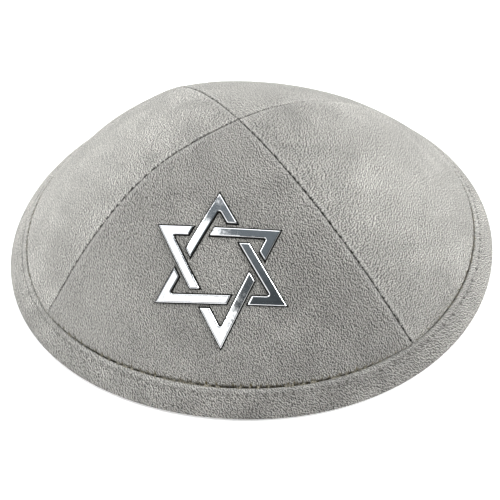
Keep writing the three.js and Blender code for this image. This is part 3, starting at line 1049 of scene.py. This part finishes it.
ring_place = add_node(band_tree, "ShaderNodeCombineXYZ", {"X": ring_side, "Y": ring_front * -1})
rim_path = add_node(band_tree, "GeometryNodeSetPosition", {"Geometry": ring, "Position": ring_place})
level_path = add_node(band_tree, "GeometryNodeSetCurveNormal", {"Curve": rim_path}, mode="Z_UP")
rim_length = add_node(band_tree, "GeometryNodeSplineParameter")["Length"]
marked_path = add_node(
    band_tree,
    "GeometryNodeStoreNamedAttribute",
    {"Geometry": level_path, "Name": "around", "Value": rim_length},
    data_type="FLOAT",
    domain="POINT",
)
section_curve = add_node(band_tree, "GeometryNodeMeshToCurve", {"Mesh": given["Section"]})
strip = add_node(
    band_tree, "GeometryNodeCurveToMesh", {"Curve": marked_path, "Profile Curve": section_curve}
)
strip = add_node(band_tree, "GeometryNodeFlipFaces", {"Mesh": strip})
around, drop = (
    add_node(band_tree, "GeometryNodeInputNamedAttribute", {"Name": title}, data_type="FLOAT")
    for title in ("around", "drop")
)
off_line = (drop - given["Stitch Line"]) / given["Dimple Width"]
line_mask = calc("EXPONENT", off_line * off_line * -1)
needle_mask = calc("COSINE", around / given["Stitch Pitch"] * (2 * math.pi)) * 0.5 + 0.5
dimple = line_mask * needle_mask * given["Dimple Depth"]
here = add_node(band_tree, "GeometryNodeInputPosition")
ripple_noise = add_node(
    band_tree,
    "ShaderNodeTexNoise",
    {"Vector": here, "W": given["Seed"], "Scale": 1 / given["Ripple Size"], "Detail": 1.0},
    noise_dimensions="4D",
)
height = add_node(band_tree, "ShaderNodeSeparateXYZ", {0: here})["Z"]
off_table = ramp(height / given["Band Height"], 0.05, 0.5)
push = (ripple_noise - 0.5) * given["Ripple Depth"] * off_table - dimple
push_vector = add_node(
    band_tree,
    "ShaderNodeVectorMath",
    {0: add_node(band_tree, "GeometryNodeInputNormal"), "Scale": push},
    operation="SCALE",
)
shaped = add_node(band_tree, "GeometryNodeSetPosition", {"Geometry": strip, "Offset": push_vector})
whole = add_node(band_tree, "GeometryNodeRealizeInstances", {"Geometry": shaped})
clothed = add_node(band_tree, "GeometryNodeSetMaterial", {"Geometry": whole, "Material": given["Cloth"]})
add_node(band_tree, "NodeGroupOutput", {"Geometry": clothed})

# The upper edge's stitches divide the rim evenly.
ring_azimuths = np.linspace(math.pi, 3 * math.pi, BAND_STEPS + 1)
ring_points = polar(ring_azimuths, rim_radius(ring_azimuths), 0.0)
ring_run = np.concatenate([[0], np.cumsum(np.linalg.norm(np.diff(ring_points, axis=0), axis=1))])
BAND_STITCHES = round(ring_run[-1] / STITCH_PITCH)
band_pitch = ring_run[-1] / BAND_STITCHES

outline = band_outline()
outline_edges = [(i, (i + 1) % len(outline)) for i in range(len(outline))]
outline_steps = [math.dist(outline[start][:2], outline[end][:2]) for start, end in outline_edges]
outline_mesh = bpy.data.meshes.new("band_section")
outline_mesh.from_pydata([(out, -up, 0.0) for out, up, _ in outline], outline_edges, [])
drops = outline_mesh.attributes.new("drop", "FLOAT", "POINT")
drops.data.foreach_set("value", [entry[2] for entry in outline])
girths = outline_mesh.attributes.new("girth", "FLOAT", "POINT")
girths.data.foreach_set("value", np.concatenate([[0], np.cumsum(outline_steps[:-1])]))

# Each spot's middle is along the strip, from the back, and up its section. The spots are partly rubbed nap
# and partly painted light and shade.
BAND_RUBS_AND_PAINTED_LIGHT = (
    (0.126, 0.006, 0.05, 0.3),
    (0.176, 0.006, 0.04, 0.42),
    (0.199, 0.006, 0.02, 0.26),
    (0.245, 0.006, 0.05, 0.22),
    (0.275, 0.006, 0.025, 0.12),
    (0.315, 0.006, 0.045, -0.16),
    (0.356, 0.006, 0.022, -0.24),
    (0.485, 0.006, 0.05, -0.22),
)
BAND_LAY = 48
BAND_TUFT = (0.0007, 0.00048)
BAND_SHADE = 0.88
BAND_SHADE_LEAN = (0.0, 4.6, 0.0)
band_nap_and_painted_light = (BAND_LAY, BAND_TUFT, BAND_SHADE, BAND_SHADE_LEAN, BAND_RUBS_AND_PAINTED_LIGHT)
band_suede = suede_material("suede_rim_band", *band_nap_and_painted_light, band_pitch, topstitched=True)
band_mesh = run_tree(
    "rim_band_strip",
    outline_mesh,
    band_tree,
    {
        "Rim Width": RIM_WIDTH,
        "Rim Depth": RIM_DEPTH,
        "Rim Turn": RIM_TURN,
        "Rim Corner": RIM_CORNER,
        "Steps Around": BAND_STEPS,
        "Band Height": BAND_HEIGHT,
        "Stitch Pitch": band_pitch,
        "Stitch Line": STITCH_LINE,
        "Dimple Depth": 0.00016,
        "Dimple Width": 0.00055,
        "Ripple Depth": 0.0005,
        "Ripple Size": 0.022,
        "Seed": 11.0,
        "Cloth": band_suede,
    },
)


def point_values(mesh, name):
    values = np.zeros(len(mesh.vertices))
    mesh.attributes[name].data.foreach_get("value", values)
    return values


def corner_values(mesh, name, whole_length):
    """Point values at the corners of a strip's quads. Where a face closes the strip, its corners at the start
    get the whole length, not nought."""
    corners = point_values(mesh, name)[corner_vertices(mesh)].reshape(-1, 4)
    closing = (np.ptp(corners, axis=1) > whole_length / 2)[:, None] & (corners < whole_length / 2)
    return (corners + closing * whole_length).ravel()


LIP_AWAY = 0.0007
FAR_AWAY = 0.05
corner_around = corner_values(band_mesh, "around", ring_run[-1])
corner_girth = corner_values(band_mesh, "girth", sum(outline_steps))
band_cloth = band_mesh.uv_layers.new(name="cloth")
band_cloth.uv.foreach_set("vector", np.stack([corner_around, corner_girth], axis=1).ravel())
band_around = point_values(band_mesh, "around")
band_drop = point_values(band_mesh, "drop")
beside_lip = np.where(band_drop > (IN_SLOT + INSIDE) / 2, 0.0, FAR_AWAY)
lip_distance = np.where(band_drop >= 0, band_drop + LIP_AWAY, beside_lip)
band_edges = band_mesh.attributes.new("edges", "FLOAT_VECTOR", "POINT")
edge_values = np.stack([lip_distance, band_around, band_drop - STITCH_LINE], axis=1)
band_edges.data.foreach_set("vector", edge_values.ravel())
band_mesh.set_sharp_from_angle(angle=CLOTH_SHARP)
add_piece("folded_rim_band", band_mesh, band_suede, ["rim_band"])

# Edge fibres
# Loose fibres of the suede that reach from the band's turned edge over the crease beside it, so the crease
# looks broken and dotted. There are most at the left of the front, and fewer at each needle hole.

FIBRE_COUNT = 4200
FIBRE_LENGTH = 0.0013
FIBRE_THICKNESS = 0.00021
FIBRE_CLUMP = 0.0013
FIBRE_CLUMP_LEVEL = 0.06
FIBRE_INSETS = (-0.00005, 0.00025)
FIBRE_PLACE = 1.02  # how far up the band's outer face the fibres stand, as a share of its height
GAPE_AZIMUTH = math.radians(-30)
GAPE_SPREAD = math.radians(34)
FIBRE_SEED = 5
WAY_STEP = 0.001


def band_ways(azimuths, share):
    """The way along the band at each azimuth."""
    return band_point(azimuths + WAY_STEP, share, 0.0) - band_point(azimuths - WAY_STEP, share, 0.0)


fibre_draw = np.random.default_rng(FIBRE_SEED)
fibre_run = fibre_draw.uniform(0, ring_run[-1], FIBRE_COUNT)
fibre_azimuths = np.interp(fibre_run, ring_run, ring_azimuths)
from_gape = (fibre_azimuths - GAPE_AZIMUTH + math.pi) % (2 * math.pi) - math.pi
gaping = np.exp(-((from_gape / GAPE_SPREAD) ** 2))
needle_share = 0.5 + 0.5 * np.cos(2 * np.pi * fibre_run / band_pitch)
fibre_chance = (0.4 + 0.5 * gaping) * (1 - 0.5 * needle_share)
clump = np.array([noise.noise((place / FIBRE_CLUMP, 3.7, 0.0)) for place in fibre_run])
kept = (clump > FIBRE_CLUMP_LEVEL) & (fibre_draw.uniform(0, 1, FIBRE_COUNT) < fibre_chance)
fibre_azimuths = fibre_azimuths[kept]
fibre_inset = fibre_draw.uniform(*FIBRE_INSETS, len(fibre_azimuths))[:, None]
fibre_outward = crown_normal(fibre_azimuths, 0.0)
fibre_beds = band_point(fibre_azimuths, FIBRE_PLACE, 0.0) - fibre_outward * fibre_inset
fibre_roots = root_mesh("edge_fibres", fibre_beds, fibre_outward, band_ways(fibre_azimuths, 1.0))
add_strands(
    "edge_fibres",
    fibre_roots,
    thread_material("loose_fibre", (0.46, 0.43, 0.35), 600.0),
    {
        "Strand Length": FIBRE_LENGTH,
        "Strand Thickness": FIBRE_THICKNESS,
        "Arch": 0.0001,
        "Sink": 0.0003,
        "Turn": math.radians(90),
        "Wander": math.radians(60),
        "Bends": 3,
        "Sides": 4,
        "Seed": 21,
    },
)

# Topstitch
# A row of grey cotton just below the band's upper edge. It holds the fold shut, and each stitch dips into the
# suede at a needle hole.

TOP_THREAD = 0.00034
TOP_THREAD_SINK = 0.00004
STITCH_SHARE = 0.86  # a stitch's length as a share of the pitch

stitch_run = (np.arange(BAND_STITCHES) + 0.5) * band_pitch
stitch_azimuths = np.interp(stitch_run, ring_run, ring_azimuths)
stitch_up = 1 - STITCH_LINE / band_slant
stitch_beds = band_point(stitch_azimuths, stitch_up, GROOVE_DEPTH + TOP_THREAD_SINK)
stitch_outward = crown_normal(stitch_azimuths, 0.0)
top_roots = root_mesh("band_topstitch", stitch_beds, stitch_outward, band_ways(stitch_azimuths, stitch_up))
add_strands(
    "band_topstitch",
    top_roots,
    thread_material("grey_thread", (0.36, 0.355, 0.33), 700.0),
    {
        "Strand Length": STITCH_SHARE * band_pitch,
        "Strand Thickness": TOP_THREAD,
        "Arch": 0.00008,
        "Sink": 0.00022,
        "Turn": 0.0,
        "Wander": math.radians(3),
        "Seed": 8,
    },
)

# Star
# Six L-shaped plates, cut from mirror-polished steel and bent to the gore. Each has a long leg that passes
# over one bar and a short leg that stops at another, with slits between, so they read as laced triangles.

EMBLEM_RADIUS = 0.025
BAR_WIDTH = 0.0031
LONG_GAP = 0.0016
SHORT_GAP = 0.0012
PLATE_TOP = 0.0009
INNER_ROUND = 0.0006
# The edge of a plate, from outside inwards: a thin foot that is pressed into the nap, the wall, and two
# polished bevels. The foot and the lower wall are painted dark as shade around the plate. Each row is a
# distance in from the plate's outline and a height over the suede.
EDGE_PROFILE = (
    (-0.00026, 0.00003),
    (0.00008, 0.00008),
    (0.0002, PLATE_TOP - 0.00014),
    (0.00034, PLATE_TOP - 0.00005),
    (0.00054, PLATE_TOP),
    (0.00059, PLATE_TOP),
)
WALL_DROP = 0.00016
WALL_BLEND = 0.00003
STAR_TIPS = (
    {"name": "star_top", "node": "star_plate_top", "angle": 96, "reach": 0.984},
    {"name": "star_upper_left", "node": "star_plate_upper_left", "angle": 150.7, "reach": 0.996},
    {"name": "star_lower_left", "node": "star_plate_lower_left", "angle": 213.2, "reach": 0.968},
    {"name": "star_bottom", "node": "star_plate_bottom", "angle": 276.1, "reach": 1.059},
    {"name": "star_lower_right", "node": "star_plate_lower_right", "angle": 335, "reach": 1.009},
    {"name": "star_upper_right", "node": "star_plate_upper_right", "angle": 35.8, "reach": 0.927},
)
LONG_STEPS = 12
SHORT_STEPS = 5
EDGE_INSETS = [inset for inset, _ in EDGE_PROFILE]
EDGE_DROPS = np.array([PLATE_TOP - height for _, height in EDGE_PROFILE])
CORNER_STEPS = 6
CORNER_ROOM = 0.0085

tip_turns = [math.radians(tip["angle"]) for tip in STAR_TIPS]
tips = [
    EMBLEM_RADIUS * tip["reach"] * np.array([math.cos(turn), math.sin(turn)])
    for tip, turn in zip(STAR_TIPS, tip_turns)
]


def star_side(index, inset):
    """The side of the star that faces a tip, as a start and a direction, moved inwards by inset."""
    start, end = tips[(index - 1) % 6], tips[(index + 1) % 6]
    direction = (end - start) / np.linalg.norm(end - start)
    return start + inset * np.array([-direction[1], direction[0]]), direction


def crossing(first, second):
    offset = second[0] - first[0]
    turn = first[1][0] * second[1][1] - first[1][1] * second[1][0]
    return first[0] + first[1] * (offset[0] * second[1][1] - offset[1] * second[1][0]) / turn


def plate_line(index, inset, rounding):
    """A line along a plate, inset from its outer edge, from the end of its long leg round the corner."""
    long_side, short_side = star_side(index + 1, inset), star_side(index - 1, inset)
    corner = crossing(long_side, short_side)
    long_ends = [crossing(long_side, star_side(index + 2, BAR_WIDTH + LONG_GAP + cut)) for cut in EDGE_INSETS]
    short_ends = [crossing(short_side, star_side(index, -SHORT_GAP - cut)) for cut in EDGE_INSETS]
    tip = tips[index % 6]
    long_way = long_side[1] * np.sign(np.dot(long_ends[0] - corner, long_side[1]))
    short_way = short_side[1] * np.sign(np.dot(short_ends[0] - corner, short_side[1]))
    long_room = corner + long_way * (CORNER_ROOM - np.dot(corner - tip, long_way))
    short_room = corner + short_way * (CORNER_ROOM - np.dot(corner - tip, short_way))
    middle = (long_way + short_way) / np.linalg.norm(long_way + short_way)
    half_angle = math.acos(np.dot(long_way, middle))
    points = long_ends[:-1]
    for step in range(LONG_STEPS):
        points.append(long_ends[-1] + (long_room - long_ends[-1]) * step / LONG_STEPS)
    for step in range(2 * CORNER_STEPS + 1):
        share = step / CORNER_STEPS - 1
        room, way = (long_room, long_way) if share < 0 else (short_room, short_way)
        if rounding == 0:
            points.append(corner + (room - corner) * abs(share))
            continue
        centre = corner + middle * rounding / math.sin(half_angle)
        swing = abs(share) * (math.pi / 2 - half_angle)
        across = way - middle * np.dot(way, middle)
        across = across / np.linalg.norm(across)
        points.append(centre - rounding * (math.cos(swing) * middle - math.sin(swing) * across))
    for step in range(SHORT_STEPS - 1, -1, -1):
        points.append(short_ends[-1] + (short_room - short_ends[-1]) * step / SHORT_STEPS)
    return np.array(points + short_ends[-2::-1])


emblem_azimuth, emblem_climb = np.array(EMBLEM_AZIMUTH), np.array(EMBLEM_CLIMB)
emblem_centre = crown_point(0, emblem_azimuth, emblem_climb)
emblem_normal = crown_normal(emblem_azimuth, emblem_climb)
emblem_side = np.cross((0, 0, 1), emblem_normal)
emblem_side = emblem_side / np.linalg.norm(emblem_side)
emblem_up = np.cross(emblem_normal, emblem_side)
SEATING_PASSES = 12
SEATING_STEP = 1e-4


def seat_on_front(flat):
    """The points of the front gore behind flat points of the emblem, and the way out of the suede there."""
    azimuth = np.full(len(flat), EMBLEM_AZIMUTH)
    climb = np.full(len(flat), EMBLEM_CLIMB)
    plane = np.stack([emblem_side, emblem_up], axis=1)
    for _ in range(SEATING_PASSES):
        point = crown_point(0, azimuth, climb)
        by_azimuth = (crown_point(0, azimuth + SEATING_STEP, climb) - point) / SEATING_STEP
        by_climb = (crown_point(0, azimuth, climb + SEATING_STEP) - point) / SEATING_STEP
        slopes = np.stack([by_azimuth @ plane, by_climb @ plane], axis=2)
        change = np.linalg.solve(slopes, (flat - (point - emblem_centre) @ plane)[:, :, None])[:, :, 0]
        azimuth = azimuth + change[:, 0]
        climb = np.clip(climb + change[:, 1], 0.02, 0.98)
    outwards = np.cross(by_azimuth, by_climb)
    return point, outwards / np.linalg.norm(outwards, axis=1, keepdims=True)


def plate_mesh(index):
    outer = [plate_line(index, inset, 0) for inset in EDGE_INSETS]
    inner = [plate_line(index, BAR_WIDTH - inset, INNER_ROUND + inset) for inset in EDGE_INSETS]
    between = [outer[-1] + (inner[-1] - outer[-1]) * share for share in (0.33, 0.67)]
    flat = np.stack([*outer, *between, *inner[::-1]], axis=1)
    cuts, lines = flat.shape[:2]
    across = np.concatenate([EDGE_DROPS, [0, 0], EDGE_DROPS[::-1]])
    along = np.concatenate([EDGE_DROPS, np.zeros(cuts - 2 * len(EDGE_DROPS)), EDGE_DROPS[::-1]])
    drop = np.maximum(across[None, :], along[:, None]).ravel()
    seat, outwards = seat_on_front(flat.reshape(-1, 2))
    top = seat + outwards * (PLATE_TOP - drop)[:, None]
    foot = seat + outwards * EDGE_PROFILE[0][1]
    over = np.arange(cuts * lines).reshape(cuts, lines)
    quads = [grid_quads(over), grid_quads(over[:, ::-1] + cuts * lines)]
    mesh = bpy.data.meshes.new(STAR_TIPS[index]["name"])
    mesh.from_pydata(np.concatenate([top, foot]).tolist(), [], np.concatenate(quads).tolist())
    drops = mesh.attributes.new("drop", "FLOAT", "POINT")
    drops.data.foreach_set("value", np.concatenate([drop, np.full(drop.shape, EDGE_DROPS[0])]))
    shell = bmesh.new()
    shell.from_mesh(mesh)
    bmesh.ops.remove_doubles(shell, verts=shell.verts, dist=MERGE_DISTANCE)
    bmesh.ops.recalc_face_normals(shell, faces=shell.faces)
    if shell.calc_volume(signed=True) < 0:
        bmesh.ops.reverse_faces(shell, faces=shell.faces)
    shell.to_mesh(mesh)
    shell.free()
    mesh.set_sharp_from_angle(angle=STEEL_SHARP)
    return mesh


STEEL_LIGHT = (0.90, 0.91, 0.92, 1)
STEEL_SMEARED = (0.80, 0.815, 0.83, 1)
STEEL_WALL_SHADE = (0.022, 0.022, 0.02, 1)

steel, steel_tree = new_material("polished_steel")
steel_place = add_node(steel_tree, "ShaderNodeTexCoord")["Object"]
dent_form = {"Vector": steel_place, "Scale": 210.0, "Detail": 2.0, "Roughness": 0.5}
steel_dents = add_node(steel_tree, "ShaderNodeTexNoise", dent_form)
smear_form = {"Vector": steel_place, "Scale": 420.0, "Detail": 3.0, "Distortion": 0.8}
steel_smears = add_node(steel_tree, "ShaderNodeTexNoise", smear_form)
steel_shine = blend(ramp(steel_smears, 0.35, 0.75), STEEL_LIGHT, STEEL_SMEARED)
steel_drop = add_node(steel_tree, "ShaderNodeAttribute", attribute_name="drop")["Fac"]
# Painted shade: the foot and the wall below the bevels are near black.
steel_wall_shade = ramp(steel_drop, WALL_DROP, WALL_DROP + WALL_BLEND)
add_surface(
    steel_tree,
    {
        "Base Color": blend(steel_wall_shade, steel_shine, STEEL_WALL_SHADE),
        "Metallic": 1.0,
        "Roughness": calc("MAXIMUM", ramp(steel_smears, 0.3, 0.8, 0.09, 0.17), steel_wall_shade * 0.6),
        "Normal": add_node(
            steel_tree, "ShaderNodeBump", {"Strength": 0.3, "Distance": 0.0004, "Height": steel_dents}
        ),
    },
)

for index, tip in enumerate(STAR_TIPS):
    add_piece(tip["name"], plate_mesh(index), steel, [tip["node"]])

# Floor, light and view
# A white light table, under a large soft light overhead and behind, softer ones to the left and right, and a
# bright card high in front that the left half of the star mirrors.

TABLE_HALF = 2.2

floor_corners = [(TABLE_HALF * x, TABLE_HALF * y, 0) for x, y in ((-1, -1), (1, -1), (1, 1), (-1, 1))]
floor_mesh = bpy.data.meshes.new("table")
floor_mesh.from_pydata(floor_corners, [], [(0, 1, 2, 3)])
floor = bpy.data.objects.new("table", floor_mesh)
bpy.context.collection.objects.link(floor)
white, white_tree = new_material("white_table")
add_surface(
    white_tree,
    {
        "Base Color": (0.95, 0.95, 0.95, 1),
        "Roughness": 0.8,
        "Emission Color": (1, 1, 1, 1),
        "Emission Strength": 0.4,
    },
)
floor_mesh.materials.append(white)

# Each has a place, an aim, a turn about its own middle, a width, a depth and a power, in metres, degrees and
# watts.
SOFTBOXES = (
    ("overhead_light", (0.0, 0.9, 3.2), (0, 0, 0), 0, 3.6, 2.6, 58.0),
    ("left_light", (-2.3, 0.3, 2.0), (0, 0, 0), 0, 1.8, 1.6, 48.0),
    ("right_light", (2.3, 0.5, 2.0), (0, 0, 0), 0, 1.8, 1.6, 84.0),
    ("front_left_card", (-1.266, -3.088, 3.0), (-1.266, -3.088, 0), 12, 2.4, 4.0, 39.0),
)
for name, place, aim, turn, width, depth, power in SOFTBOXES:
    light_data = bpy.data.lights.new(name, "AREA")
    light_data.shape = "RECTANGLE"
    light_data.size = width
    light_data.size_y = depth
    light_data.energy = power
    light = bpy.data.objects.new(name, light_data)
    light.location = place
    facing = (Vector(place) - Vector(aim)).to_track_quat("Z", "Y").to_matrix()
    light.rotation_euler = (facing @ Matrix.Rotation(math.radians(turn), 3, "Z")).to_euler()
    bpy.context.collection.objects.link(light)

# The room is white down past the table's edge, pale above it and dim blue-grey overhead.
world = bpy.data.worlds.new("studio")
world.use_nodes = True
sky = world.node_tree
sky.nodes.clear()
sky_way = add_node(sky, "ShaderNodeTexCoord")["Generated"]
sky_up = add_node(sky, "ShaderNodeSeparateXYZ", {0: sky_way})["Z"]
dim_sky = blend(ramp(sky_up, 0.7, 0.97), (0.05, 0.058, 0.063, 1), (0.16, 0.182, 0.2, 1))
wall_sky = blend(ramp(sky_up, 0.1, 0.34), (0.62, 0.62, 0.62, 1), dim_sky)
room = blend(ramp(sky_up, 0.03, 0.06), (1.1, 1.1, 1.1, 1), wall_sky)
room_light = add_node(sky, "ShaderNodeBackground", {"Color": room, "Strength": 1.0})
add_node(sky, "ShaderNodeOutputWorld", {"Surface": room_light})
bpy.context.scene.world = world
bpy.context.scene.view_settings.view_transform = "Standard"
